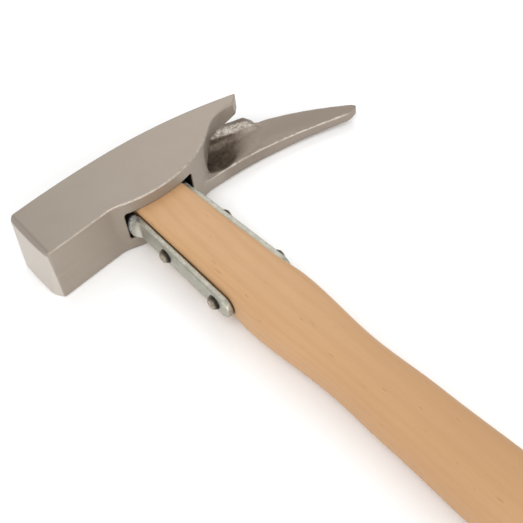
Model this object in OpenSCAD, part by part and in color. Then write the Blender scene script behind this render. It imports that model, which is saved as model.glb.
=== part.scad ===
// Roofing hammer: forged head with a square face, nail notch and side spike,
// on a wooden handle held by two riveted steel straps and wedges.
// It lies on one cheek. X runs from the face to the spike, Y up the handle to the
// head's top, Z up from the cheek that it lies on. The origin is on that cheek,
// below the middle of the eye.

/* [Head] */
// Thickness of the head from cheek to cheek
head_t = 29; // [26:0.5:32]
// Distance from the handle's axis to the striking face
face_x = 59.2; // [54:0.1:63]
// Height of the head's top above the middle of the eye
crown_y = 18.6; // [17:0.1:21]
// Where the head's top is highest, along the head
crown_x = -4; // [-8:0.5:2]
// Radius of the top towards the striking face
crown_r_face = 420; // [300:10:600]
// Radius of the top towards the claw
crown_r_claw = 235; // [200:5:300]
// Underside of the bar at the striking face
bar_low_face = -17.3; // [-19:0.1:-15]
// Underside of the bar beside the eye
bar_low_eye = -14.1; // [-15:0.1:-13]
// Width of the bevel around the striking face
face_bevel = 2; // [1:0.1:4]
// Small chamfer along the head's long edges
edge_chamfer = 0.8; // [0.3:0.1:1.5]
// Radius of the curved skirts beside the eye
skirt_r = 59; // [55:1:70]
// Lowest point of the skirts
skirt_low = -18.6; // [-20:0.1:-17]

/* [Eye] */
// Half length of the eye, along the head
eye_half_x = 18.8; // [17:0.1:20]
// Half width of the eye, across the cheeks
eye_half_z = 7.9; // [7:0.1:8.5]
// Corner radius of the eye
eye_corner = 1.5; // [0.5:0.1:2.5]

/* [Claw] */
// Far end of the nail-pulling tine, from the handle's axis
tine_tip_x = 64.8; // [62:0.1:68]
// End of the tine's edge on the handle side
tine_heel = [58.8, 2.9];
// Level of the slot's spike-side wall above the head's mid-plane
slot_wall_z = -1; // [-2:0.1:0]
// Where the slot's two walls meet
slot_apex_x = 44; // [42:0.5:48]
// Angle between the slot's two walls
slot_angle = 18; // [14:1:22]
// End of the ledge beside the slot
ledge_end_x = 69; // [67:0.5:71]
// Level of the spike's near surface above the head's mid-plane
spike_top_z = -6.6; // [-7.5:0.1:-5]
// Tip of the spike, from the handle's axis
spike_tip_x = 116.5; // [112:1:122]
// Height of the spike's tip
spike_tip_y = -24; // [-26:0.5:-20]
// Radius of the spike's underside
spike_low_r = 195; // [180:5:240]
// Bevel under the spike, on the far side
spike_bevel = 2.2; // [1:0.1:3]
// Radius of the hollow at the spike's root
hollow_r = 11; // [9:0.5:13]

/* [Straps and rivets] */
// Width of a strap
strap_w = 9.8; // [8:0.1:12]
// Thickness of a strap
strap_k = 3.2; // [2.5:0.1:3.6]
// Strap's inner face from the handle's axis, at the eye's mouth
strap_in_mouth = 12.7; // [12:0.1:13.5]
// Strap's inner face from the handle's axis, at its lower end
strap_in_end = 14.4; // [13.5:0.1:15]
// Lower end of the straps
strap_end_y = -86; // [-92:1:-80]
// How far a strap's hook reaches over the head's top
hook_reach = 5.5; // [3:0.1:7]
// Upper rivet's height
rivet_upper_y = -41.7; // [-50:0.1:-35]
// Lower rivet's height
rivet_lower_y = -76.7; // [-80:0.1:-70]
// Radius of a rivet's shank
rivet_r = 2.25; // [1.5:0.05:2.6]
// Radius of a rivet's head
rivet_head_r = 3.5; // [3:0.1:4.2]
// Height of a rivet's head
rivet_head_h = 2.7; // [1:0.1:3]

/* [Handle] */
// Lower end of the handle
handle_end_y = -306; // [-320:1:-280]
// Half width of the handle where it swells below the straps
swell_half_w = 15.9; // [14:0.1:17]
// Half width of the handle at its waist
waist_half_w = 13.1; // [11:0.1:15]
// Half width of the grip
grip_half_w = 16.4; // [14:0.1:18]
// Half thickness of the grip
grip_half_t = 12.2; // [11:0.1:13.5]

/* [Wedges] */
// Depth of the wooden wedge in the tenon
wood_wedge_depth = 27; // [20:1:30]
// Thickness of the wooden wedge at its top
wood_wedge_top = 5; // [3:0.1:6]
// Depth of a steel wedge in the tenon
steel_wedge_depth = 20; // [14:1:22]
// Thickness of a steel wedge at its top
steel_wedge_top = 3; // [2:0.1:3.5]
// Width of a steel wedge
steel_wedge_w = 8; // [6:0.5:9]

/* [Hidden] */
$fn = 48;

mid_z = head_t / 2;       // the head's and handle's mid-plane
far = 200;                // longer than any cut needs
bar_end_x = -22.9;        // where the bar meets the skirts
tenon_top_y = crown_y + 1;
top_lean = eye_half_x - strap_k;   // strap's inner face at the head's top
seat_gap = 0.1;           // between a rivet's head and the slanting strap
steel_wedge_x = 9;        // steel wedges' distance from the handle's axis
spike_root_x = 38;        // where the spike's underside starts to curve down
spike_root_y = -12;

// Handle: height, centre, half width, half thickness and squareness of each section
sections = [
  [tenon_top_y, 0, top_lean, eye_half_z, 16],
  [0, 0, strap_in_mouth + 1.4, eye_half_z, 16],
  [-15, 0, strap_in_mouth, eye_half_z, 16],
  [-22, 0, strap_in_mouth + 0.2, eye_half_z + 0.3, 9],
  [-45, 0.1, strap_in_mouth + 0.7, 9.3, 5],
  [-76, 0.4, strap_in_end - 0.4, 10.3, 4.2],
  [-97, 0.8, swell_half_w, 10.8, 3.2],
  [-141, 1, waist_half_w, 11, 2.9],
  [-170, 1.4, waist_half_w + 1, 11.3, 2.8],
  [-215, 1.6, grip_half_w - 1.1, 11.8, 2.7],
  [-265, 1.4, grip_half_w, grip_half_t, 2.6],
  [handle_end_y + 10, 1, grip_half_w + 1.6, grip_half_t + 0.4, 2.6],
  [handle_end_y + 3, 1, grip_half_w + 1.2, grip_half_t, 2.6],
  [handle_end_y, 1, grip_half_w - 1, grip_half_t - 2, 2.6]
];
// Ends of the side outlines: along the tine, and along the ledge beside the slot
tine_tail = [[44.2, -0.4], [51, 2], tine_heel, [tine_tip_x, 7.8]];
ledge_tail = [[44, 2.5], [50, 7.2], [60, 3.6], [66.5, 0.8], [ledge_end_x, 2.2], [ledge_end_x - 0.4, 4.7]];
ring_sides = 28;          // points around a handle section
rings_between = 3;        // steps from one section to the next

// Height of the head's top, and of the skirts' lower edge, at x
function top_y(x) =
  crown_y - pow(x - crown_x, 2) / (2 * (x < crown_x ? crown_r_face : crown_r_claw));
function skirt_y(x) = skirt_low + skirt_r - sqrt(skirt_r * skirt_r - x * x);
function spike_low_y(x) = spike_root_y - pow(max(0, x - spike_root_x), 2) / (2 * spike_low_r);
function spike_up_y(x, from, to) =
  let (u = (x - from[0]) / (to[0] - from[0])) from[1] + (to[1] - from[1]) * u + 3.2 * u * (1 - u);
function step_list(a, b, n) = [for (i = [0 : n]) a + (b - a) * i / n];

// Eased blend of two handle sections
function ease(u) = u * u * (3 - 2 * u);
function blend(a, b, u) =
  let (e = ease(u)) [a[0] + (b[0] - a[0]) * u, for (k = [1 : 4]) a[k] + (b[k] - a[k]) * e];
function root(v, p) = sign(v) * pow(abs(v), 2 / p);
function ring(s) =
  [for (i = [0 : ring_sides - 1]) let (a = 360 * (i + 0.5) / ring_sides)
    [s[1] + s[2] * root(cos(a), s[4]), s[0], s[3] * root(sin(a), s[4])]];

// Side outline of the bar and the eye, ended by the points of a tail that follows the skirt
module cheek_outline(tail) {
  tip_x = tail[len(tail) - 1][0];
  polygon(concat(
    [[-face_x, bar_low_face + face_bevel], [face_bevel - face_x, bar_low_face]],
    [[bar_end_x, bar_low_eye]],
    [for (x = step_list(-20, 39, 22)) [x, skirt_y(x)]],
    tail,
    [for (x = step_list(tip_x - 4, face_bevel - face_x, 24)) [x, top_y(x)]],
    [[-face_x, top_y(-face_x) - face_bevel]]
  ));
}

// Side outline of the half that carries the spike
module spike_outline() {
  shoulder = [74, 4.4];
  tip = [spike_tip_x, spike_tip_y + 0.8];
  polygon(concat(
    [[0, -10], [29.5, skirt_y(29.5)], [33.5, -10.8]],
    [for (x = step_list(spike_root_x, spike_tip_x - 5, 14)) [x, spike_low_y(x)]],
    [[spike_tip_x - 1.5, spike_tip_y - 1], tip],
    [for (x = step_list(spike_tip_x - 3, 79, 8)) [x, spike_up_y(x, [79, 0.8], tip)]],
    [shoulder],
    [for (x = step_list(72, 0, 14)) [x, top_y(x)]]
  ));
}

module slab(z_low, z_high) {
  translate([0, 0, z_low]) linear_extrude(z_high - z_low) children();
}

module rounded_slot(half_x, half_z, r) {
  square([2 * half_x, 2 * (half_z - r)], center = true);
  square([2 * (half_x - r), 2 * half_z], center = true);
  for (sx = [-1, 1], sz = [-1, 1])
    translate([sx * (half_x - r), sz * (half_z - r)]) circle(r);
}

// Hole through the head for the tenon and straps
module eye_cut() {
  rotate([90, 0, 0]) translate([0, 0, -far / 2])
    linear_extrude(far) rounded_slot(eye_half_x, eye_half_z, eye_corner);
}

// V-slot for nails, and the clear space above the ledge
module slot_cut() {
  rotate([90, 0, 0]) translate([0, 0, -far / 2]) linear_extrude(far)
    polygon([
      [slot_apex_x, slot_wall_z],
      [slot_apex_x + 60, slot_wall_z],
      [slot_apex_x + 60, slot_wall_z + 60 * tan(slot_angle)]
    ]);
}

// Bevel on the tine's handle side, deeper towards the slot
module tine_bevel() {
  translate([40, -3.4, mid_z]) rotate([21, 0, 18]) translate([0, -far, -far / 2]) cube([far, far, far]);
}

// Bevels of the striking face on its two cheek sides
module face_bevels() {
  for (s = [-1, 1]) translate([-face_x, 0, s * mid_z]) rotate([0, 45, 0])
    cube([face_bevel * sqrt(2), far, face_bevel * sqrt(2)], center = true);
}

// Hollow in the spike's near surface, from the boss to where it runs out
module hollow() {
  intersection() {
    translate([35, -4, hollow_r - 9.5]) rotate([0, 85, 0]) cylinder(h = 46, r = hollow_r, $fn = 64);
    slab(-mid_z, spike_top_z + 1) translate([0, -far / 2]) square(far);
  }
}

// Thins the spike towards its tip, on the side that it lies on
module spike_taper() {
  translate([72, -far / 2, -mid_z]) rotate([0, -3, 0]) translate([0, 0, -far]) cube(far);
}

// Bevel under the spike, along the cheek that the hammer lies on
module spike_far_bevel() {
  tilt = 9;
  translate([30, -10.9, -mid_z]) rotate([0, 0, -tilt]) rotate([45, 0, 0])
    translate([0, -spike_bevel, -spike_bevel]) cube([far, 2 * spike_bevel, 2 * spike_bevel]);
}

// Bevels of the bar's underside along both cheeks, from the face to the skirts
module long_edge_bevels(side) {
  run = atan2(bar_low_eye - bar_low_face, bar_end_x + face_x);
  translate([-face_x, bar_low_face, side * mid_z]) rotate([0, 0, run]) rotate([45, 0, 0])
    cube([2 * (face_x + bar_end_x), edge_chamfer * sqrt(2), edge_chamfer * sqrt(2)], center = true);
}

// The half of the head above the slot's spike-side wall: bar, eye and tine
module near_half() {
  difference() {
    slab(slot_wall_z, mid_z) cheek_outline(tine_tail);
    slot_cut();
    intersection() {
      tine_bevel();
      slab(slot_wall_z, far) translate([40, -far / 2]) square(far);
    }
  }
}

// The half below it: bar, eye, ledge and spike
module far_half() {
  difference() {
    union() {
      slab(-mid_z, slot_wall_z) cheek_outline(ledge_tail);
      slab(-mid_z, spike_top_z) spike_outline();
    }
    hollow();
    spike_far_bevel();
    spike_taper();
  }
}

module head() {
  color([0.65, 0.61, 0.56]) translate([0, 0, mid_z]) difference() {
    union() {
      near_half();
      far_half();
    }
    eye_cut();
    face_bevels();
    for (s = [-1, 1]) long_edge_bevels(s);
  }
}

// Centre line of a strap in the half x > 0: its inner face, from the lower end to the hook
strap_inner = [
  [strap_in_end, strap_end_y], [strap_in_mouth, -15], [top_lean, crown_y - 0.6]
];

// A strap before it is drilled, on the claw side
module strap_blank() {
  hook_y = top_y(eye_half_x);
  outline = [
    strap_inner[0], strap_inner[1], strap_inner[2],
    [top_lean, hook_y + strap_k], [eye_half_x + hook_reach, hook_y + strap_k - 0.4],
    [eye_half_x + hook_reach, hook_y], [eye_half_x, hook_y],
    [strap_inner[1][0] + strap_k, -15], [strap_inner[0][0] + strap_k, strap_end_y]
  ];
  intersection() {
    slab(-strap_w / 2, strap_w / 2) polygon(outline);
    rotate([0, 90, 0]) union() {
      translate([0, strap_end_y + strap_w / 2, 0]) cylinder(h = far, d = strap_w);
      translate([-strap_w / 2, strap_end_y + strap_w / 2, 0]) cube([strap_w, far, far]);
    }
  }
}

// The two rivets' shanks, through both straps and the handle
module rivet_shank(y) {
  translate([0, y, 0]) rotate([0, 90, 0]) cylinder(h = 2 * strap_out_at(y) + 1, r = rivet_r, center = true);
}
function strap_out_at(y) =
  strap_in_mouth + strap_k + (strap_in_end - strap_in_mouth) * (-15 - y) / (-15 - strap_end_y);

module strap(side) {
  translate([0, 0, mid_z]) difference() {
    if (side > 0) strap_blank(); else mirror([1, 0, 0]) strap_blank();
    rivet_shank(rivet_upper_y);
    rivet_shank(rivet_lower_y);
  }
}
module strap_face_side() { color([0.70, 0.70, 0.66]) strap(-1); }
module strap_claw_side() { color([0.70, 0.70, 0.66]) strap(1); }

// A through rivet turned about its own axis, with a domed head outside each strap
module rivet(y) {
  dome_r = (rivet_head_r * rivet_head_r + rivet_head_h * rivet_head_h) / (2 * rivet_head_h);
  rim_angle = asin(rivet_head_r / dome_r);
  seat = strap_out_at(y) + seat_gap;
  top_dome = [for (a = step_list(0, rim_angle, 8)) [dome_r * sin(a), seat + rivet_head_h - dome_r * (1 - cos(a))]];
  profile = concat(
    top_dome, [[rivet_r, seat], [rivet_r, -seat]],
    [for (k = [len(top_dome) - 1 : -1 : 0]) [top_dome[k][0], -top_dome[k][1]]]
  );
  color([0.45, 0.43, 0.40]) translate([0, y, mid_z]) rotate([0, 90, 0]) rotate_extrude() polygon(profile);
}
module rivet_upper() { rivet(rivet_upper_y); }
module rivet_lower() { rivet(rivet_lower_y); }

// Wedge of a given thickness at the tenon's top, tapering to its lower edge
module wedge_shape(thick, depth, width) {
  slab(-width / 2, width / 2) polygon([
    [-thick / 2, tenon_top_y], [thick / 2, tenon_top_y],
    [0.4, tenon_top_y - depth], [-0.4, tenon_top_y - depth]
  ]);
}
module wooden_wedge_blank() { wedge_shape(wood_wedge_top, wood_wedge_depth, 2 * eye_half_z); }
module steel_wedge_blank(side) {
  translate([side * steel_wedge_x, 0, 0]) rotate([0, 90, 0])
    wedge_shape(steel_wedge_top, steel_wedge_depth, steel_wedge_w);
}
module wooden_wedge() { color([0.78, 0.66, 0.50]) translate([0, 0, mid_z]) wooden_wedge_blank(); }
module steel_wedge_face_side() { color([0.40, 0.40, 0.40]) translate([0, 0, mid_z]) steel_wedge_blank(-1); }
module steel_wedge_claw_side() { color([0.40, 0.40, 0.40]) translate([0, 0, mid_z]) steel_wedge_blank(1); }

// Solid skin through all the handle's sections
module handle_blank() {
  rings = concat(
    [for (k = [0 : len(sections) - 2], j = [0 : rings_between - 1])
      ring(blend(sections[k], sections[k + 1], j / rings_between))],
    [ring(sections[len(sections) - 1])]
  );
  n = ring_sides;
  last = len(rings) - 1;
  polyhedron(
    points = [for (r = rings, p = r) p],
    faces = concat(
      [[for (i = [0 : n - 1]) i]],
      [for (k = [0 : last - 1], i = [0 : n - 1]) let (j = (i + 1) % n)
        [k * n + i, (k + 1) * n + i, (k + 1) * n + j, k * n + j]],
      [[for (i = [0 : n - 1]) last * n + n - 1 - i]]
    )
  );
}

module handle() {
  color([0.83, 0.67, 0.49]) translate([0, 0, mid_z]) difference() {
    handle_blank();
    for (side = [0, 1]) mirror([side, 0, 0]) strap_blank();
    rivet_shank(rivet_upper_y);
    rivet_shank(rivet_lower_y);
    wooden_wedge_blank();
    for (side = [-1, 1]) steel_wedge_blank(side);
  }
}

head();
handle();
strap_face_side();
strap_claw_side();
rivet_upper();
rivet_lower();
wooden_wedge();
steel_wedge_face_side();
steel_wedge_claw_side();
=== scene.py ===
"""Looks of a roofing hammer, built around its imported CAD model.

Lengths are in millimetres until a mesh is made, and Z is measured from the cheek that the hammer lies on.
"""

import math

import bpy
import numpy as np
from mathutils import Matrix, Vector


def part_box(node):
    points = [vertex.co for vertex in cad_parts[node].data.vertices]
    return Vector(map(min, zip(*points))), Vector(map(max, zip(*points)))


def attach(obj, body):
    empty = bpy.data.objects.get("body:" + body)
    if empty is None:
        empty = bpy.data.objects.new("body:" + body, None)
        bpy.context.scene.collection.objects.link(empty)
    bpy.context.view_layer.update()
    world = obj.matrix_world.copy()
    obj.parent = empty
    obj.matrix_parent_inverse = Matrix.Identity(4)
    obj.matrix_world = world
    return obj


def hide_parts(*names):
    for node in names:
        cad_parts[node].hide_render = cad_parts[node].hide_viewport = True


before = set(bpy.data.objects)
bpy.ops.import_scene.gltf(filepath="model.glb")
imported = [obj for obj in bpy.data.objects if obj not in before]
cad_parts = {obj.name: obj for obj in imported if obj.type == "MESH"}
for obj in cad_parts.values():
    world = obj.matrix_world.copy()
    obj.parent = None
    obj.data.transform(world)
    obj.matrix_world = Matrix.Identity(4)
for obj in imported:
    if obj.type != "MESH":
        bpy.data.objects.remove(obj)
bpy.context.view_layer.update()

MM = 0.001

# ---------------------------------------------------------------- sizes taken from the frame


def node_box(node):
    """Lowest and highest corner of a CAD node, in millimetres."""
    low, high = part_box(node)
    return np.array(low) / MM, np.array(high) / MM


HEAD_LOW, HEAD_HIGH = node_box("head")
HANDLE_LOW, HANDLE_HIGH = node_box("handle")
STRAP_LOW, STRAP_HIGH = node_box("strap_claw_side")
WEDGE_LOW, WEDGE_HIGH = node_box("wooden_wedge")

THICK = HEAD_HIGH[2] - HEAD_LOW[2]
MID = THICK / 2
CROWN = HEAD_HIGH[1]
FACE_X = -HEAD_LOW[0]
TIP_X = HEAD_HIGH[0]
TENON_TOP = HANDLE_HIGH[1]
HANDLE_END = HANDLE_LOW[1]
STRAP_IN = STRAP_LOW[0]
STRAP_HALF_W = (STRAP_HIGH[2] - STRAP_LOW[2]) / 2
STRAP_END = STRAP_LOW[1]

# Head: curves of the top and of the skirts beside the eye
CROWN_X = -4
TOP_R_FACE = 420
TOP_R_CLAW = 235
SKIRT_R = 59
SKIRT_LOW = -18.6
BAR_LOW = -17.3
BAR_SLOPE = 0.091
EYE_X = 18.8
EYE_Z = 7.9

# Head: claw
APEX_X = 44
SLOT_WALL = MID - 1
SLOT_ANGLE = math.radians(18)
SPIKE_NEAR = MID - 6.6
# Where the tine's curve, the ledge and the spike's lower edge begin
CLAW_ROOT = 38
# Level of the points that place the ledge's bevel and its end
LEDGE_LEVEL = 11.4
# Radius of the curve under the tine
TINE_R = 38

# Straps, rivets
STRAP_K = 3.2
STRAP_OUT = 14.4
STRAP_LEAN = EYE_X - STRAP_K
MOUTH = -15
HOOK_REACH = 5.5
RIVET_R = 2.25
RIVET_HEAD_R = 3.5
RIVET_HEAD_H = 2.7

# Size of the cells that each kind of piece is meshed with
HEAD_STEP = 0.45
STRAP_STEP = 0.4
RIVET_STEP = 0.21
WEDGE_STEP = 0.3
HANDLE_STEP = 0.8
# Room that the handle's cuts leave around a strap
STRAP_GAP = 0.3

# ---------------------------------------------------------------- implicit solids


def smooth(low, high, v):
    """0 below low, 1 above high, eased between."""
    u = np.clip((v - low) / (high - low), 0, 1)
    return u * u * (3 - 2 * u)


def both(r, a, *others):
    """What is inside every field, with edges rounded to radius r."""
    for b in others:
        u = np.maximum(a + r, 0)
        v = np.maximum(b + r, 0)
        a = np.minimum(-r, np.maximum(a, b)) + np.hypot(u, v)
    return a


def either(r, a, *others):
    """What is inside any field, with a fillet of radius r between them."""
    for b in others:
        u = np.maximum(r - a, 0)
        v = np.maximum(r - b, 0)
        a = np.maximum(r, np.minimum(a, b)) - np.hypot(u, v)
    return a


def without(r, a, b):
    """Field a with field b cut out, its new edge rounded to radius r."""
    return both(r, a, -b)


def plane(x, y, z, point, normal):
    """Inside is the side that the normal points away from."""
    n = np.array(normal, float)
    n /= np.linalg.norm(n)
    return (x - point[0]) * n[0] + (y - point[1]) * n[1] + (z - point[2]) * n[2]


def ellipsoid(x, y, z, centre, radii):
    """Inside is the ellipsoid; the value is only roughly a distance."""
    r = np.sqrt(sum(((v - c) / s) ** 2 for v, c, s in zip((x, y, z), centre, radii)))
    return (r - 1) * min(radii)


def axis_slices(shape, axis, shift):
    """Slices that pick, for every cell, one of its four edges along an axis."""
    picks = []
    others = [a for a in range(3) if a != axis]
    for a in range(3):
        if a == axis:
            picks.append(slice(0, shape[a]))
        else:
            s = shift[others.index(a)]
            picks.append(slice(s, shape[a] + s))
    return tuple(picks)


# Cells added around a field's box, and rounds that move the vertices onto its surface
MARGIN_CELLS = 1.5
PROJECTION_ROUNDS = 3


def surface_net(values, low, step):
    """Vertices and quads of the zero surface of a grid of values that are negative inside."""
    cells = tuple(n - 1 for n in values.shape)
    inside = values < 0
    total = np.zeros(cells + (3,), np.float32)
    count = np.zeros(cells, np.int32)
    crossings = []
    for axis in range(3):
        a = np.delete(values, -1, axis)
        b = np.delete(values, 0, axis)
        crossing = np.delete(inside, -1, axis) != np.delete(inside, 0, axis)
        t = np.where(crossing, a / np.where(crossing, a - b, 1), 0)
        crossings.append(crossing)
        others = [k for k in range(3) if k != axis]
        for shift in ((0, 0), (0, 1), (1, 0), (1, 1)):
            picks = axis_slices(cells, axis, shift)
            hit = crossing[picks]
            count += hit
            total[..., axis] += t[picks] * hit
            for k, s in zip(others, shift):
                total[..., k] += s * hit
    used = count > 0
    index = np.full(cells, -1)
    index[used] = np.arange(used.sum())
    corner = np.argwhere(used)
    vertices = low + (corner + total[used] / count[used][:, None]) * step
    quads = []
    for axis in range(3):
        i, j, k = np.nonzero(crossings[axis])
        u, v = [a for a in range(3) if a != axis]
        base = np.stack([i, j, k], 1)
        base = base[(base[:, u] > 0) & (base[:, v] > 0)]
        base = base[(base[:, u] < cells[u]) & (base[:, v] < cells[v])]
        ring = []
        for du, dv in ((-1, -1), (0, -1), (0, 0), (-1, 0)):
            at = base.copy()
            at[:, u] += du
            at[:, v] += dv
            ring.append(index[tuple(at.T)])
        ring = np.stack(ring, 1)
        outward = inside[tuple(base.T)] == (axis != 1)
        ring[~outward] = ring[~outward][:, ::-1]
        quads.append(ring)
    return vertices, np.concatenate(quads)


def skin(name, field, low, high, step):
    """A smooth mesh object on a field's zero surface, inside a box given in millimetres."""
    low = np.array(low, float) - MARGIN_CELLS * step
    high = np.array(high, float) + MARGIN_CELLS * step
    sizes = np.ceil((high - low) / step).astype(int) + 1
    axes = [low[a] + step * np.arange(sizes[a]) for a in range(3)]
    values = field(*np.meshgrid(*axes, indexing="ij"))
    vertices, quads = surface_net(values, low, step)
    eps = step / 4
    for _ in range(PROJECTION_ROUNDS):
        here = field(*vertices.T)
        slope = np.stack([
            field(*(vertices + eps * np.eye(3)[a]).T) - field(*(vertices - eps * np.eye(3)[a]).T)
            for a in range(3)
        ], 1) / (2 * eps)
        move = here[:, None] * slope / np.maximum((slope ** 2).sum(1), 0.2)[:, None]
        vertices -= np.clip(move, -step / 2, step / 2)
    mesh = bpy.data.meshes.new(name)
    mesh.from_pydata((vertices * MM).tolist(), [], quads.tolist())
    mesh.update()
    mesh.shade_smooth()
    piece = bpy.data.objects.new(name, mesh)
    bpy.context.scene.collection.objects.link(piece)
    return piece, vertices


def point_values(piece, name, values):
    """Stores one number per vertex for the piece's material."""
    layer = piece.data.attributes.new(name, "FLOAT", "POINT")
    layer.data.foreach_set("value", np.asarray(values, np.float32))


# ---------------------------------------------------------------- head


def top_line(x):
    """Height of the head's top along the head."""
    radius = np.where(x < CROWN_X, TOP_R_FACE, TOP_R_CLAW)
    return CROWN - (x - CROWN_X) ** 2 / (2 * radius)


def tine_rise(x, z):
    """How far the hollow-ground bevel lifts the tine's lower side above its edge on the cheek."""
    wall = slot_near_wall(x)
    t = np.clip((THICK - z) / (THICK - wall), 0, 1)
    above = np.maximum(z - 19, 0) / 10
    below = np.maximum(19 - z, 0) / 13.4
    start = 30.7 + 6.6 * above ** 4 + 4.0 * below ** 2
    u = np.clip((x - start) / 13, 0, 1)
    lift = 5.4 * np.sqrt(1 - (1 - u) ** 2) - 3.0 * smooth(44, 59, x)
    belly = 0.9 * smooth(50, 59, x) * 4 * t * (1 - t)
    return lift * (1 - (1 - t) ** 1.6) - belly


def slot_near_wall(x):
    """Level of the slot's tine-side wall, which rises from where the two walls meet."""
    return SLOT_WALL + np.maximum(x - APEX_X, 0) * math.tan(SLOT_ANGLE)


def underside(x, y):
    """Bar, skirts and the curve under the tine, seen from the cheek."""
    bar = (BAR_LOW + (x + FACE_X - 2.5) * BAR_SLOPE - y) * math.cos(BAR_SLOPE)
    skirt = np.hypot(x, y - SKIRT_LOW - SKIRT_R) - SKIRT_R
    tine = TINE_R - np.hypot(x - 59.5, y - 2.95 + TINE_R)
    lower = either(1.2, skirt, both(0.5, bar, x))
    return either(2.0, lower, np.maximum(tine, CLAW_ROOT - x))


def striking_face(x, y, z):
    """Slightly crowned face with its ground bevels."""
    crown = 0.9 * (1 - ((y - 1) / 16) ** 2)
    face = -x - (FACE_X - 1.0 + 0.075 * (THICK - z) + crown)
    near = plane(x, y, z, (-57.0, 0, THICK), (-1.9, 0, 1.5))
    far = plane(x, y, z, (-60.2, 0, 0), (-1, 0, -1))
    low_edge = -56.9 - 1.1 * (1 - ((z - 9) / 19) ** 2)
    low = -(x - low_edge) * 0.80 - (y - BAR_LOW) * (0.60 - 0.006 * (THICK - z))
    top = plane(x, y, z, (-57.2, top_line(-57.2), MID), (-1.4, 1.8, 0))
    return both(0.4, face, near, far, low, top)


def ripple(x, y):
    """Uneven waves, about 3 mm long, for surfaces left rough by the hammer that forged them."""
    return np.sin(1.7 * x + 2.1 * np.sin(0.9 * x)) * np.sin(2.4 * y + 0.7 * x + 1.3 * np.sin(1.1 * y))


def ledge_bevel(x, y, z):
    """The ledge's ground bevel, slightly dented."""
    dents = 0.13 * ripple(x, 1.4 * y)
    return plane(x, y, z, (54.0, 4.0, LEDGE_LEVEL), (-0.18, -0.46, 0.87)) + dents


def ledge_side(x, y, z):
    """The ledge's wall on the handle side, below its bevel."""
    return plane(x, y, z, (47.7, 5.8, 0), (-0.357, -0.934, 0.06))


def hollow_field(x, y, z):
    """The scoop behind the tine's root and its run-out along the spike."""
    scoop = ellipsoid(x, y, z, (41.5, -0.4, 17.4), (16, 16.2, 12.8))
    runout = ellipsoid(x, y, z, (44, 0.8, 17), (24, 11.8, 9.6))
    return either(4.0, scoop, runout)


def spike_low_line(x):
    """Height of the spike's lower edge along the spike."""
    return -12 - np.maximum(x - CLAW_ROOT, 0) ** 2 / 390


def spike_near_face(x, y, z):
    """The spike's near surface: it climbs from the ridge to the far edge and is dished."""
    slope = 0.28 * (y - spike_low_line(x))
    dish = 0.5 * np.exp(-((y + 7 + 0.33 * (x - 60)) / 5) ** 2) * smooth(112, 95, x)
    dents = 0.16 * ripple(x, y) * np.exp(-((y - spike_low_line(x)) / 1.6) ** 2)
    return (z - SPIKE_NEAR - slope + dish + dents) * 0.96


def head_field(x, y, z):
    """The whole forging: tine and bar, boss, ledge and spike, face and eye."""
    top = (y - top_line(x)) * 0.98
    lifted = y - tine_rise(x, z)
    floor = 9 + (slot_near_wall(x) - 9) * smooth(42, 45, x)
    tine_end = plane(x, y, z, (64.84, 7.73, THICK), (0.673, -0.74, 0))
    near = both(0.8, top, underside(x, lifted), z - THICK)
    near = both(0.35, near, floor - z, tine_end)

    boss = both(1.1, top, underside(x, y - tine_rise(x, np.minimum(z, SLOT_WALL))), -z)
    boss = both(0.5, boss, z - 14, x - 47)

    ledge_top = top + 1.2 * smooth(48, 62, x)
    ledge = both(0.3, ledge_top, ledge_side(x, y, z), ledge_bevel(x, y, z), z - SLOT_WALL, -z, CLAW_ROOT - x)
    ledge = both(0.4, ledge, plane(x, y, z, (68.4, -0.5, LEDGE_LEVEL), (0.62, -0.1, 0.78)), x - 71)

    root_lift = 0.9 * np.exp(-((x - 68) / 5) ** 2)
    spike_top = (y - root_lift + 2.4 + 0.391 * (x - 78) + 0.0039 * (x - 78) ** 2) * 0.9
    spike_top = both(0.5, spike_top, top)
    spike_top = both(2.6, spike_top, x - TIP_X - 0.4)
    spike_low = (spike_low_line(x) - y) * 0.98
    spike_low = np.where(x < CLAW_ROOT, np.maximum(spike_low, 24 - x), spike_low)
    spike_low = both(2.0, spike_low, plane(x, y, z, (111.0, -25.6, 0), (0.262, -0.965, 0)))
    taper = math.tan(math.radians(3)) * np.maximum(x - 72, 0)
    spike = both(2.4, spike_low, taper - z)
    spike = both(1.2 - 0.5 * smooth(104, 112, x), spike, spike_top)
    spike = both(0.5, spike, spike_near_face(x, y, z))

    soft = 0.5 + 4.5 * smooth(46, 58, x)
    far = without(soft, either(1.2, boss, spike), hollow_field(x, y, z))
    far = either(3.2 - 1.0 * smooth(58, 66, x), far, ledge)
    # Fillets swell where the faces of joined parts coincide, so the outer faces are cut once more
    far = both(0.8, far, top, -z)
    body = both(0.8, either(0.4, near, far), top)
    body = both(0.5, body, striking_face(x, y, z))
    eye = both(1.5, np.abs(x) - EYE_X, np.abs(z - MID) - EYE_Z)
    return without(0.5, body, eye)


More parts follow.
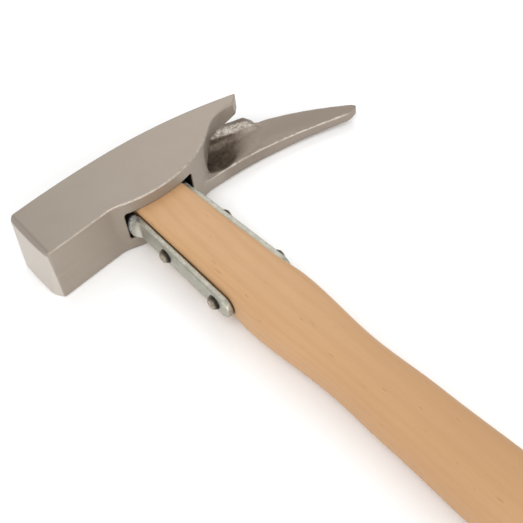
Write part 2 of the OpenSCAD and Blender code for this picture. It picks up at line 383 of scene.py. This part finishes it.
def ledge_wear_and_edge_highlights(x, y, z):
    """1 on the ground bevel of the ledge and on painted highlights along the spike's ridge and the near
    cheek's lower edge, 0 elsewhere.
    """
    off = np.abs(ledge_bevel(x, y, z))
    bevel = smooth(0.25, 0.1, off) * smooth(42, 44, x)
    bevel = bevel * smooth(69, 68, x + z - LEDGE_LEVEL) * smooth(10.8, 11.2, z)
    bevel = bevel * smooth(-0.1, -0.7, ledge_side(x, y, z)) * (0.62 + 0.38 * smooth(62, 52, x))
    # Painted highlight along the spike's ridge
    ridge_highlight = np.hypot(spike_near_face(x, y, z), spike_low_line(x) - y)
    ridge_highlight = 0.5 * smooth(0.75, 0.3, ridge_highlight) * smooth(34, 38, x) * smooth(111, 106, x)
    # Painted highlight along the near cheek's lower edge
    cheek_edge_highlight = np.hypot(z - THICK, underside(x, y))
    cheek_edge_highlight = smooth(0.9, 0.4, cheek_edge_highlight) * smooth(-56, -52, x) * smooth(40, 30, x)
    cheek_edge_highlight = cheek_edge_highlight * (0.22 + 0.2 * smooth(-34, -26, x))
    return np.maximum(np.maximum(bevel, ridge_highlight), cheek_edge_highlight)


def build_head():
    """The head, with a number per vertex for each finish that its steel shows, and for its painted shade and
    painted highlights.
    """
    low = HEAD_LOW - (3, 1, 0.5)
    high = HEAD_HIGH + (1, 1, 0.5)
    piece, at = skin("forged_head", head_field, low, high, HEAD_STEP)
    x, y, z = at.T
    # Forge scale in the hollow, darkened further as painted shade where shadow falls: the scoop behind the
    # tine's root and the spike's near face below it
    scoop_scale_and_shade = smooth(3.0, 0.3, np.abs(hollow_field(x, y, z))) * smooth(31, 36, x) * smooth(24, 12, z)
    below = smooth(0.1, 1.8, -spike_near_face(x, y, z)) * smooth(38, 41, x) * smooth(0.9, 1.8, z)
    below = below * smooth(0.8, 1.8, y - spike_low_line(x)) * smooth(8, 6.5, y)
    # Painted shadow on the ledge's wall under its bevel
    wall = smooth(2.6, 1.0, np.abs(ledge_side(x, y, z))) * smooth(0.1, -0.35, ledge_bevel(x, y, z))
    wall = wall * smooth(38, 40, x)
    from_ledge = 0.30 * x - 0.955 * y
    scoop_scale_and_shade = scoop_scale_and_shade * smooth(22.5, 13.5, from_ledge)
    # A faint darkening around the hollow, partly scale and partly painted shade
    near_hollow_scale_and_shade = 0.25 * smooth(74, 60, x) * smooth(36, 44, x) * smooth(20, 12, z)
    scale = np.maximum(np.maximum(scoop_scale_and_shade, below * smooth(61, 47, x)), wall * smooth(65, 55, x))
    point_values(piece, "scale", np.maximum(scale, near_hollow_scale_and_shade))
    # Painted shade on the eye's inner walls
    wall_off = np.maximum(np.abs(x) - EYE_X, np.abs(z - MID) - EYE_Z)
    deep_shade = smooth(0.3, 1.4, np.minimum(-underside(x, y), top_line(x) - y))
    point_values(piece, "painted_eye_shade", smooth(0.6, 0.2, np.abs(wall_off)) * deep_shade * (z < THICK - 3) * (z > 3))
    # Painted shade: the claw's lower parts get a darker steel
    point_values(piece, "claw", smooth(36, 44, x) * smooth(20, 12, z))
    chamfer = smooth(-56.8, -57.2, x) * smooth(THICK - 2.5, THICK - 2.0, z)
    point_values(piece, "ground", smooth(-57.6, -58.2, x) * (1 - chamfer))
    point_values(piece, "chamfer", chamfer)
    point_values(piece, "wear_and_highlight", ledge_wear_and_edge_highlights(x, y, z))
    return piece


# ---------------------------------------------------------------- straps, rivets and wedges


def strap_inner(y):
    """Distance from the handle's axis to a strap's inner face at a height."""
    below = STRAP_IN + (STRAP_OUT - STRAP_IN) * (MOUTH - y) / (MOUTH - STRAP_END)
    above = STRAP_IN + (STRAP_LEAN - STRAP_IN) * (y - MOUTH) / (CROWN - MOUTH)
    return np.where(y < MOUTH, below, above)


def strap_plain(x, y, z, gap=0.0):
    """A strap in the half x > 0, grown by a gap."""
    grow = 0 if gap else 1
    inner = strap_inner(y) - x
    neck = grow * np.clip((y + 21.5) / 4, 0, 1) * smooth(CROWN, 0, y)
    swell = neck * 2.3 * (1 - ((z - MID + 2.9) / (STRAP_HALF_W + 0.8)) ** 2)
    outer = (x - strap_inner(y) - STRAP_K - swell) * 0.9
    end = STRAP_END + STRAP_HALF_W
    shift = np.where(z < MID, 0.8 * neck, -1.6 * neck * np.clip((y + 18.5) / 3, 0, 1))
    side = np.where(y < end, np.hypot(z - MID, y - end), np.abs(z - MID)) - STRAP_HALF_W - shift
    shank = both(0.8, inner - gap, side - gap, outer - gap)
    shank = both(0.8, shank, y - top_line(EYE_X) - STRAP_K - gap)
    hook_low = top_line(EYE_X) + 0.15 - y
    hook = both(0.8, hook_low - gap, y - top_line(EYE_X) - STRAP_K - gap, STRAP_LEAN - x)
    hook = both(0.8, hook, x - EYE_X - HOOK_REACH - gap, np.abs(z - MID) - STRAP_HALF_W - gap)
    return either(0.6, shank, hook)


def build_strap(name, side):
    """A strap, with its crust inside the eye brightened as painted light, its rubbed neck, a painted
    highlight along its upper edge and painted shade deep in the eye.
    """
    def field(x, y, z):
        return strap_plain(side * x, y, z)

    # The neck swells past the strap's plain outline, so the box leaves room for it
    low = STRAP_LOW - (0, 0, 1)
    high = STRAP_HIGH + (1, 0, 1)
    if side < 0:
        low, high = (-high[0], low[1], low[2]), (-low[0], high[1], high[2])
    piece, at = skin(name, field, low, high, STRAP_STEP)
    # A pale crust in the eye, brightened as painted light against the head's shadow
    point_values(piece, "in_eye", smooth(-19.5, -15.5, at[:, 1]) * smooth(12, 0, at[:, 1]))
    neck = np.clip((at[:, 1] + 23) / 5, 0, 1)
    outward = side * at[:, 0] - strap_inner(at[:, 1]) > STRAP_K - 0.6
    # Painted highlight along the strap's upper edge
    edge_highlight = smooth(MID + 5.4, MID + 6.6, at[:, 2]) * smooth(-30, -22, at[:, 1])
    edge_highlight = edge_highlight * smooth(-14.5, -16.5, at[:, 1])
    point_values(piece, "rubbed_and_highlight", np.maximum(4 * neck * (1 - neck) * outward, edge_highlight))
    # Painted shade deep in the eye
    point_values(piece, "deep_shade", smooth(-15.2, -13.2, at[:, 1]) * smooth(19, 16, at[:, 1]))
    return piece


def build_rivet(name, node):
    """A through rivet with a domed and dimpled head at each end."""
    low, high = node_box(node)
    y0 = (low[1] + high[1]) / 2
    reach = (high[0] - low[0]) / 2
    seat = reach - RIVET_HEAD_H
    dome_r = (RIVET_HEAD_R ** 2 + RIVET_HEAD_H ** 2) / (2 * RIVET_HEAD_H)

    def field(x, y, z):
        off = np.hypot(y - y0, z - MID)
        shank = both(0.2, off - RIVET_R, np.abs(x) - reach + 0.5)
        dome = np.hypot(np.abs(x) - reach + dome_r, off) - dome_r
        dome = both(0.3, dome, seat - 0.15 - np.abs(x), off - RIVET_HEAD_R)
        dimple = np.hypot(np.abs(x) - reach - 0.75, off) - 1.35
        return without(0.2, either(0.1, shank, dome), dimple)

    piece, at = skin(name, field, low, high, RIVET_STEP)
    off = np.hypot(at[:, 1] - y0, at[:, 2] - MID)
    # Painted shadow around the head's rim, stronger on one side
    turned = (y0 - at[:, 1]) * 0.9 + (at[:, 2] - MID) * 0.4
    point_values(piece, "painted_rim_shadow", smooth(1.9, 3.2, off) * (0.45 + 0.55 * smooth(-1, 2, turned)))
    return piece


def wedge_field(x, y, z, thick, depth, width):
    """A wedge that thins from the tenon's top downwards."""
    down = (TENON_TOP - y) / depth
    half = thick / 2 + (0.4 - thick / 2) * down
    return both(0.15, np.abs(x) - half, np.abs(z) - width / 2, y - TENON_TOP, TENON_TOP - depth - y)


def build_wedge(name, node):
    """A wedge that stands slightly proud of the tenon's top."""
    low, high = node_box(node)
    centre = (low + high) / 2
    span = high - low
    along_x = span[0] > span[2]

    def field(x, y, z):
        across, along = (z - centre[2], x - centre[0]) if along_x else (x - centre[0], z - centre[2])
        thick, width = (span[2], span[0]) if along_x else (span[0], span[2])
        proud = 0.25 if along_x else 0.1
        shape = wedge_field(across, y - proud, along, thick, span[1], width)
        return shape + 0.05 * np.sin(y * 2.2) * along_x

    return skin(name, field, low, high + (0, 0.3, 0), WEDGE_STEP)[0]


# ---------------------------------------------------------------- handle

# Height, centre, half width, half thickness and squareness of the handle's sections
SECTIONS = np.array([
    (HANDLE_END, 1.0, 15.4, 10.2, 2.6),
    (HANDLE_END + 3, 1.0, 17.6, 12.2, 2.6),
    (HANDLE_END + 10, 1.0, 18.0, 12.6, 2.6),
    (-265, 1.4, 16.4, 12.2, 2.6),
    (-215, 1.6, 15.3, 11.8, 2.7),
    (-170, 1.4, 14.1, 11.3, 2.8),
    (-141, 1.0, 13.1, 11.0, 2.9),
    (-97, 0.8, 15.9, 10.8, 3.2),
    (-76, 0.4, 14.0, 10.3, 4.2),
    (-45, 0.1, 13.4, 9.3, 5.0),
    (-22, 0.0, 12.9, 8.2, 9.0),
    (MOUTH, 0.0, STRAP_IN, EYE_Z - 0.1, 12.0),
    (TENON_TOP, 0.0, STRAP_LEAN, EYE_Z - 0.1, 12.0),
])


def section_at(y):
    """The handle's section at each height, eased between the listed ones."""
    heights = SECTIONS[:, 0]
    k = np.clip(np.searchsorted(heights, y) - 1, 0, len(heights) - 2)
    u = np.clip((y - heights[k]) / (heights[k + 1] - heights[k]), 0, 1)
    e = u * u * (3 - 2 * u)
    centre = SECTIONS[k, 1] + (SECTIONS[k + 1, 1] - SECTIONS[k, 1]) * u
    rest = [SECTIONS[k, c] + (SECTIONS[k + 1, c] - SECTIONS[k, c]) * e for c in (2, 3, 4)]
    return centre, rest[0], rest[1], rest[2]


def handle_field(x, y, z):
    """The handle, cut out for the straps and for the wooden wedge."""
    centre, half_w, half_t, power = section_at(y)
    a = np.abs(x - centre) / half_w
    b = np.abs(z - MID) / half_t
    size = (a ** power + b ** power) ** (1 / power)
    body = (size - 1) * np.minimum(half_w, half_t)
    body = both(0.6, body, y - TENON_TOP)
    body = both(3.0, body, HANDLE_END - y)
    for side in (-1, 1):
        body = without(0.3, body, strap_plain(side * x, y, z, STRAP_GAP))
    kerf = wedge_field(x, y, z - MID, WEDGE_HIGH[0] - WEDGE_LOW[0], WEDGE_HIGH[1] - WEDGE_LOW[1], THICK)
    return without(0.1, body, kerf)


def build_handle():
    """The handle, with painted shade along the straps and a tone that darkens towards the grip."""
    low = HANDLE_LOW - (0, 0, 0.5)
    high = HANDLE_HIGH + (0, 0, 0.5)
    piece, at = skin("ash_handle", handle_field, low, high, HANDLE_STEP)
    x, y, z = at.T
    cut = np.minimum(strap_plain(x, y, z, STRAP_GAP), strap_plain(-x, y, z, STRAP_GAP))
    # Painted shade in the gaps along the straps
    point_values(piece, "groove_shade", smooth(0.5, 0.0, cut) * smooth(MOUTH + 3, MOUTH, y))
    # The wood gets darker towards the grip
    point_values(piece, "darker_towards_grip", smooth(-50, -210, y))
    return piece


# ---------------------------------------------------------------- materials


class Nodes:
    """Short names for building a node material."""

    def __init__(self, name):
        self.material = bpy.data.materials.new(name)
        self.material.use_nodes = True
        self.tree = self.material.node_tree
        self.tree.nodes.clear()
        self.out = self.tree.nodes.new("ShaderNodeOutputMaterial")
        self.shader = self.tree.nodes.new("ShaderNodeBsdfPrincipled")
        self.link(self.shader, "BSDF", self.out, "Surface")

    def link(self, a, a_name, b, b_name):
        self.tree.links.new(a.outputs[a_name], b.inputs[b_name])

    def put(self, source, node, name):
        """Sets an input to a number or colour, or links it to another node's output."""
        target = node.inputs[name]
        if isinstance(source, bpy.types.NodeSocket):
            self.tree.links.new(source, target)
        else:
            target.default_value = source

    def place(self, scale=(1, 1, 1)):
        """Object coordinates in millimetres, stretched by scale."""
        where = self.tree.nodes.new("ShaderNodeTexCoord")
        mapping = self.tree.nodes.new("ShaderNodeMapping")
        mapping.inputs["Scale"].default_value = [1000 * s for s in scale]
        self.link(where, "Object", mapping, "Vector")
        return mapping.outputs["Vector"]

    def noise(self, vector, scale, detail=3, rough=0.5, distort=0.0):
        node = self.tree.nodes.new("ShaderNodeTexNoise")
        self.put(vector, node, "Vector")
        node.inputs["Scale"].default_value = scale
        node.inputs["Detail"].default_value = detail
        node.inputs["Roughness"].default_value = rough
        node.inputs["Distortion"].default_value = distort
        return node.outputs["Fac"]

    def cells(self, vector, scale, feature="F1", out="Distance"):
        node = self.tree.nodes.new("ShaderNodeTexVoronoi")
        node.feature = feature
        self.put(vector, node, "Vector")
        node.inputs["Scale"].default_value = scale
        return node.outputs[out]

    def ramp(self, value, *stops):
        """Colours or greys at places along a value."""
        node = self.tree.nodes.new("ShaderNodeValToRGB")
        self.put(value, node, "Fac")
        band = node.color_ramp
        while len(band.elements) < len(stops):
            band.elements.new(0.5)
        for element, (place, colour) in zip(band.elements, stops):
            element.position = place
            element.color = tuple(colour) + (1,) if hasattr(colour, "__len__") else (colour,) * 3 + (1,)
        return node.outputs["Color"]

    def mix(self, share, a, b, how="MIX"):
        node = self.tree.nodes.new("ShaderNodeMix")
        node.data_type = "RGBA"
        node.blend_type = how
        ins = [i for i in node.inputs if i.enabled]
        for source, target in zip((share, a, b), ins):
            if isinstance(source, bpy.types.NodeSocket):
                self.tree.links.new(source, target)
            elif target.type == "RGBA":
                grey = (source,) * 3 if not hasattr(source, "__len__") else tuple(source)
                target.default_value = grey + (1,)
            else:
                target.default_value = source
        return [o for o in node.outputs if o.enabled][0]

    def maths(self, how, a, b=0.0):
        node = self.tree.nodes.new("ShaderNodeMath")
        node.operation = how
        self.put(a, node, 0)
        self.put(b, node, 1)
        return node.outputs[0]

    def stored(self, name):
        node = self.tree.nodes.new("ShaderNodeAttribute")
        node.attribute_name = name
        return node.outputs["Fac"]

    def bump(self, height, distance_mm, strength=1.0, before=None):
        node = self.tree.nodes.new("ShaderNodeBump")
        self.put(height, node, "Height")
        node.inputs["Distance"].default_value = distance_mm * MM
        self.put(strength, node, "Strength")
        if before is not None:
            self.put(before, node, "Normal")
        return node.outputs["Normal"]

    def finish(self, **inputs):
        names = {"colour": "Base Color", "rough": "Roughness", "metal": "Metallic", "normal": "Normal"}
        for key, source in inputs.items():
            self.put(source, self.shader, names[key])
        return self.material


def srgb(r, g, b):
    """Linear colour of an 8-bit display colour."""
    def one(v):
        v /= 255
        return v / 12.92 if v <= 0.04045 else ((v + 0.055) / 1.055) ** 2.4
    return (one(r), one(g), one(b))


def forged_steel():
    """Fine-blasted forging: soft mottling, small grain, a ground face, scaled hollows darkened further as
    painted shade, a claw darkened as painted shade, painted highlights on the ridge and the cheek's edge,
    and painted shade in the eye.
    """
    n = Nodes("forged_steel")
    at = n.place()
    clouds = n.noise(at, 0.05, 4, 0.6)
    grain = n.noise(at, 1.1, 2, 0.7)
    pits = n.cells(at, 0.8)
    base = n.ramp(clouds, (0.3, srgb(152, 141, 129)), (0.7, srgb(155, 145, 133)))
    base = n.mix(n.ramp(grain, (0.35, 0.22), (0.65, 0.0)), base, srgb(140, 130, 118))
    rough_forge = n.noise(at, 0.35, 5, 0.7, 0.4)
    # Dark forge scale, laid on the hollows and the ledge's wall also as painted shade
    scale_and_shade_colour = n.ramp(rough_forge, (0.35, srgb(82, 70, 58)), (0.7, srgb(124, 112, 98)))
    # Painted shade: the claw's lower parts are darker
    base = n.mix(n.maths("MULTIPLY", n.stored("claw"), 0.7), base, srgb(139, 127, 116))
    base = n.mix(n.stored("scale"), base, scale_and_shade_colour)
    base = n.mix(n.stored("ground"), base, srgb(192, 184, 175))
    base = n.mix(n.stored("chamfer"), base, srgb(154, 142, 132))
    # Bright scratches on the ground bevel, also used as painted highlights on the ridge and the cheek's edge
    streaks = n.noise(n.place((0.35, 1, 1)), 0.7, 4, 0.65, 0.6)
    scratch_and_highlight_colour = n.ramp(
        streaks, (0.34, srgb(150, 139, 127)), (0.47, srgb(210, 201, 190)), (0.72, srgb(236, 229, 220))
    )
    broken = n.ramp(n.noise(at, 0.55, 4, 0.7), (0.38, 0.35), (0.52, 1.0))
    base = n.mix(n.maths("MULTIPLY", n.stored("wear_and_highlight"), broken), base, scratch_and_highlight_colour)
    # Painted shade in the eye
    base = n.mix(n.stored("painted_eye_shade"), base, srgb(48, 40, 32))
    rough = n.ramp(grain, (0.3, 0.42), (0.7, 0.56))
    fine = n.bump(grain, 0.05, 0.5)
    coarse = n.bump(rough_forge, 0.5, n.maths("MULTIPLY", n.stored("scale"), 0.9), fine)
    chips = n.noise(at, 1.2, 3, 0.75)
    normal = n.bump(pits, 0.03, 0.35, coarse)
    normal = n.bump(chips, 0.4, n.maths("MULTIPLY", n.stored("wear_and_highlight"), 0.9), normal)
    return n.finish(colour=base, rough=rough, metal=0.55, normal=normal)


def zinc():
    """Galvanised strap: crystalline mottling that is stronger in the eye, where a pale crust is brightened
    as painted light against the head's shadow, with a painted highlight along the upper edge and painted
    shade deep in the eye.
    """
    n = Nodes("zinc_strap")
    at = n.place()
    spangle = n.noise(at, 0.8, 1, 0.2)
    flakes = n.cells(at, 1.3)
    clouds = n.noise(at, 0.25, 4, 0.6)
    base = n.ramp(clouds, (0.3, srgb(160, 158, 146)), (0.7, srgb(176, 174, 161)))
    base = n.mix(n.ramp(spangle, (0.45, 0.0), (0.62, 0.25)), base, srgb(196, 195, 184))
    # The pale crust in the eye, brightened as painted light
    crust_and_painted_light = n.ramp(n.noise(at, 1.0, 4, 0.8), (0.36, srgb(112, 108, 99)), (0.6, srgb(244, 242, 235)))
    base = n.mix(n.maths("MULTIPLY", n.stored("in_eye"), 0.85), base, crust_and_painted_light)
    # Rubbed neck, and a painted highlight on the upper edge
    base = n.mix(n.maths("MULTIPLY", n.stored("rubbed_and_highlight"), 0.7), base, srgb(206, 202, 190))
    # Painted shade deep in the eye
    base = n.mix(n.stored("deep_shade"), base, srgb(34, 29, 24))
    bare = n.maths("MAXIMUM", n.stored("in_eye"), n.stored("rubbed_and_highlight"))
    metal = n.maths("SUBTRACT", 0.8, n.maths("MULTIPLY", bare, 0.55))
    rough = n.ramp(flakes, (0.0, 0.34), (0.6, 0.52))
    normal = n.bump(clouds, 0.12, 0.6, n.bump(flakes, 0.05, 0.5))
    return n.finish(colour=base, rough=rough, metal=metal, normal=normal)


def rivet_steel():
    """Dull worn steel with a painted shadow around the rim, for rivets and steel wedges."""
    n = Nodes("rivet_steel")
    at = n.place()
    wear = n.noise(at, 0.9, 4, 0.7)
    base = n.ramp(wear, (0.35, srgb(128, 116, 101)), (0.68, srgb(188, 178, 162)))
    # Painted shadow around the rim
    base = n.mix(n.stored("painted_rim_shadow"), base, srgb(36, 31, 25))
    normal = n.bump(wear, 0.15, 0.7)
    return n.finish(colour=base, rough=n.ramp(wear, (0.3, 0.5), (0.7, 0.32)), metal=0.8, normal=normal)


# How far the pith of the tree lies to the side of the wood, in millimetres
PITH_SHIFT = (34, 0, 46)


def wood(name, pale, dark, fleck):
    """Straight-grained wood: growth rings about a distant pith, fibres and short flecks, with painted shade
    along the straps and a tone darker towards the grip.
    """
    n = Nodes(name)
    long_way = n.place((1, 0.035, 1))
    fibres = n.noise(long_way, 1.3, 4, 0.6)
    drift = n.noise(n.place((0.5, 0.02, 0.5)), 0.06, 3, 0.5)
    rings = n.tree.nodes.new("ShaderNodeTexWave")
    rings.wave_type = "RINGS"
    rings.rings_direction = "Y"
    shifted = n.tree.nodes.new("ShaderNodeVectorMath")
    shifted.operation = "ADD"
    n.put(n.place((1, 0.012, 1)), shifted, 0)
    shifted.inputs[1].default_value = PITH_SHIFT
    n.put(shifted.outputs[0], rings, "Vector")
    rings.inputs["Scale"].default_value = 0.11
    rings.inputs["Distortion"].default_value = 2.2
    rings.inputs["Detail"].default_value = 2
    rings.inputs["Detail Scale"].default_value = 0.4
    ring_share = n.maths("MULTIPLY", n.ramp(rings.outputs["Fac"], (0.4, 0.0), (1.0, 1.0)), 0.22)
    base = n.mix(ring_share, pale, dark)
    base = n.mix(n.ramp(drift, (0.35, 0.0), (0.75, 0.35)), base, dark)
    base = n.mix(n.ramp(fibres, (0.4, 0.0), (0.75, 0.2)), base, dark)
    spots = n.noise(n.place((1.3, 0.2, 1.3)), 0.8, 1, 0.4)
    marks = n.ramp(spots, (0.72, 0.0), (0.79, 0.4))
    # Darker towards the grip
    base = n.mix(n.maths("MULTIPLY", n.stored("darker_towards_grip"), 0.6), base, dark)
    base = n.mix(marks, base, fleck)
    # Painted shade along the straps
    base = n.mix(n.maths("MULTIPLY", n.stored("groove_shade"), 0.75), base, srgb(84, 58, 36))
    rough = n.ramp(fibres, (0.3, 0.48), (0.7, 0.62))
    normal = n.bump(fibres, 0.08, 0.5, n.bump(marks, 0.05, 0.4))
    return n.finish(colour=base, rough=rough, metal=0.0, normal=normal)


def dress(piece, material, slot, *nodes):
    """Gives a piece its material and its body, and the CAD nodes that it stands for; the slot is not used.
    """
    piece.data.materials.clear()
    piece.data.materials.append(material)
    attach(piece, "root")
    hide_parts(*nodes)


def build_hammer():
    """Every piece, with its material and the CAD node that it stands for."""
    steel = forged_steel()
    strap_metal = zinc()
    rivet_metal = rivet_steel()
    ash = wood("ash_wood", srgb(196, 155, 112), srgb(176, 133, 90), srgb(140, 95, 58))
    wedge_wood = wood("wedge_wood", srgb(206, 172, 128), srgb(176, 138, 96), srgb(140, 100, 66))
    dress(build_head(), steel, "forged_steel", "head")
    dress(build_handle(), ash, "ash_wood", "handle")
    for name, side in (("strap_face_side", -1), ("strap_claw_side", 1)):
        dress(build_strap("zinc_" + name, side), strap_metal, "zinc_strap", name)
    for name in ("rivet_upper", "rivet_lower"):
        dress(build_rivet("domed_" + name, name), rivet_metal, "rivet_steel", name)
    dress(build_wedge("driven_wooden_wedge", "wooden_wedge"), wedge_wood, "wedge_wood", "wooden_wedge")
    for name in ("steel_wedge_face_side", "steel_wedge_claw_side"):
        piece = build_wedge("driven_" + name, name)
        # Steel wedges get no painted rim shadow
        point_values(piece, "painted_rim_shadow", np.zeros(len(piece.data.vertices)))
        dress(piece, rivet_metal, "wedge_steel", name)


# ---------------------------------------------------------------- floor, light and camera


# The point that the lamps are turned to, in metres
LAMP_AIM = (0, -0.05, 0)


def floor():
    """A pale floor that reaches past the picture on all sides."""
    bpy.ops.mesh.primitive_plane_add(size=30, location=(0, 0, 0))
    plate = bpy.context.object
    plate.name = "floor"
    n = Nodes("pale_floor")
    tone = n.noise(n.place(), 0.01, 2)
    material = n.finish(
        colour=n.ramp(tone, (0.3, srgb(249, 249, 249)), (0.7, srgb(252, 252, 252))), rough=0.9, metal=0.0
    )
    plate.data.materials.append(material)


def soft_light(name, place, size, power):
    """A square lamp turned to LAMP_AIM."""
    data = bpy.data.lights.new(name, "AREA")
    data.size = size
    data.energy = power
    lamp = bpy.data.objects.new(name, data)
    bpy.context.scene.collection.objects.link(lamp)
    lamp.location = place
    lamp.rotation_euler = (Vector(LAMP_AIM) - Vector(place)).to_track_quat("-Z", "Y").to_euler()


def studio():
    """White surroundings and four soft lamps."""
    world = bpy.data.worlds.new("studio")
    bpy.context.scene.world = world
    world.use_nodes = True
    world.node_tree.nodes["Background"].inputs["Color"].default_value = (1, 1, 1, 1)
    world.node_tree.nodes["Background"].inputs["Strength"].default_value = 0.55
    soft_light("key", (-0.55, -0.3, 1.1), 0.7, 5.5)
    soft_light("sky", (0.75, 0.85, 1.1), 1.1, 7)
    soft_light("fill", (0.1, -1.6, 0.54), 1.35, 20)
    soft_light("side", (-1.2, -0.15, 0.3), 1.0, 3.5)


def camera():
    """A camera given by its direction from the point that it looks at, and by its roll."""
    azimuth, elevation, roll = (math.radians(v) for v in (-34.64, 48.77, -7.89))
    look_at = Vector((0.01072, -0.07373, MID * MM))
    distance = 0.3625
    back = Vector((
        math.sin(azimuth) * math.cos(elevation),
        -math.cos(azimuth) * math.cos(elevation),
        math.sin(elevation),
    ))
    right = (-back).cross(Vector((0, 0, 1))).normalized()
    up = right.cross(-back)
    turned = Matrix((right, up, back)).transposed() @ Matrix.Rotation(roll, 3, "Z")
    data = bpy.data.cameras.new("camera")
    data.sensor_width = 36
    data.lens = 58.6
    eye = bpy.data.objects.new("camera", data)
    bpy.context.scene.collection.objects.link(eye)
    eye.matrix_world = Matrix.Translation(look_at + back * distance) @ turned.to_4x4()
    bpy.context.scene.camera = eye


bpy.context.scene.view_settings.view_transform = "Standard"
build_hammer()
floor()
studio()
camera()
